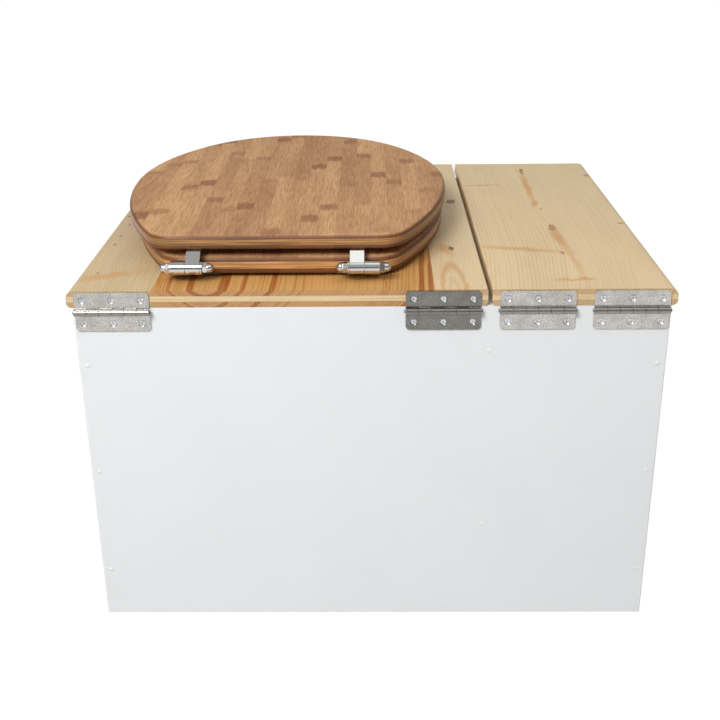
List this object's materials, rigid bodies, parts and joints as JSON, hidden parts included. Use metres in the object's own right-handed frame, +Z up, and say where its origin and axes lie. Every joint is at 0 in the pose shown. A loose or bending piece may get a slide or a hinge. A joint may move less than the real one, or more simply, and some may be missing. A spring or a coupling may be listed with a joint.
{
  "type": "box toilet with litter compartment",
  "caption": "Low wooden box toilet with a hinged seat board that carries a lidded oval seat over a bucket, and a hinged lid over a litter compartment at its side.",
  "frame": {"origin": "middle of the box's footprint, on the plane it stands on", "axes": "+Z up, -Y the front where the user sits, +Y the rear with the butt hinges, +X the side with the seat"},
  "size_m": [0.611, 0.491, 0.4382],
  "materials": {
    "white_painted_board": "satin white paint",
    "spruce_board": "satin clear lacquer",
    "bamboo": "satin clear lacquer",
    "zinc_plated_leaf": "satin zinc plating",
    "zinc_plated_screw": "bright zinc plating",
    "steel_pin": "bright steel",
    "chrome": "polished chrome",
    "stainless_axle": "turned stainless steel",
    "nylon_washer": "matt white nylon",
    "rubber_bumper": "matt pale rubber",
    "bucket_plastic": "satin light grey polypropylene"
  },
  "bodies": {
    "box": {"floor_panel": "white_painted_board", "back_panel": "white_painted_board", "front_panel": "white_painted_board", "toilet_side_panel": "white_painted_board", "litter_side_panel": "white_painted_board", "divider_panel": "white_painted_board", "wall_screws": "white_painted_board", "fixed_leaf_1": "zinc_plated_leaf", "fixed_leaf_2": "zinc_plated_leaf", "fixed_leaf_3": "zinc_plated_leaf", "fixed_leaf_4": "zinc_plated_leaf", "fixed_leaf_screws": "zinc_plated_screw", "hinge_pins": "steel_pin", "bucket": "bucket_plastic"},
    "seat_board": {"seat_board": "spruce_board", "seat_board_leaf_1": "zinc_plated_leaf", "seat_board_leaf_2": "zinc_plated_leaf", "seat_board_leaf_screws": "zinc_plated_screw", "seat_post_1": "chrome", "seat_post_2": "chrome", "post_bolts": "zinc_plated_screw", "post_washers": "nylon_washer", "wing_nuts": "zinc_plated_screw", "seat_axles": "stainless_axle", "acorn_nuts": "chrome"},
    "litter_lid": {"litter_lid": "spruce_board", "litter_lid_leaf_1": "zinc_plated_leaf", "litter_lid_leaf_2": "zinc_plated_leaf", "litter_lid_leaf_screws": "zinc_plated_screw"},
    "seat_ring": {"seat_ring": "bamboo", "ring_ear_1": "chrome", "ring_ear_2": "chrome", "ring_ear_screws": "zinc_plated_screw", "ring_bumpers": "rubber_bumper"},
    "seat_cover": {"seat_cover": "bamboo", "cover_strap_1": "chrome", "cover_strap_2": "chrome", "cover_strap_screws": "zinc_plated_screw", "cover_bumpers": "rubber_bumper"}
  },
  "joints": [
    {"name": "seat_board_hinge", "type": "hinge", "parent": "box", "child": "seat_board", "pos_m": [0.092, 0.2385, 0.371], "axis": [-1, 0, 0], "range_deg": [0, 105]},
    {"name": "litter_lid_hinge", "type": "hinge", "parent": "box", "child": "litter_lid", "pos_m": [-0.2126, 0.2385, 0.371], "axis": [-1, 0, 0], "range_deg": [0, 180]},
    {"name": "seat_ring_hinge", "type": "hinge", "parent": "seat_board", "child": "seat_ring", "pos_m": [0.097, 0.2108, 0.408], "axis": [-1, 0, 0], "range_deg": [0, 45]},
    {"name": "seat_cover_hinge", "type": "hinge", "parent": "seat_ring", "child": "seat_cover", "pos_m": [0.097, 0.2108, 0.408], "axis": [-1, 0, 0], "range_deg": [0, 100]}
  ]
}
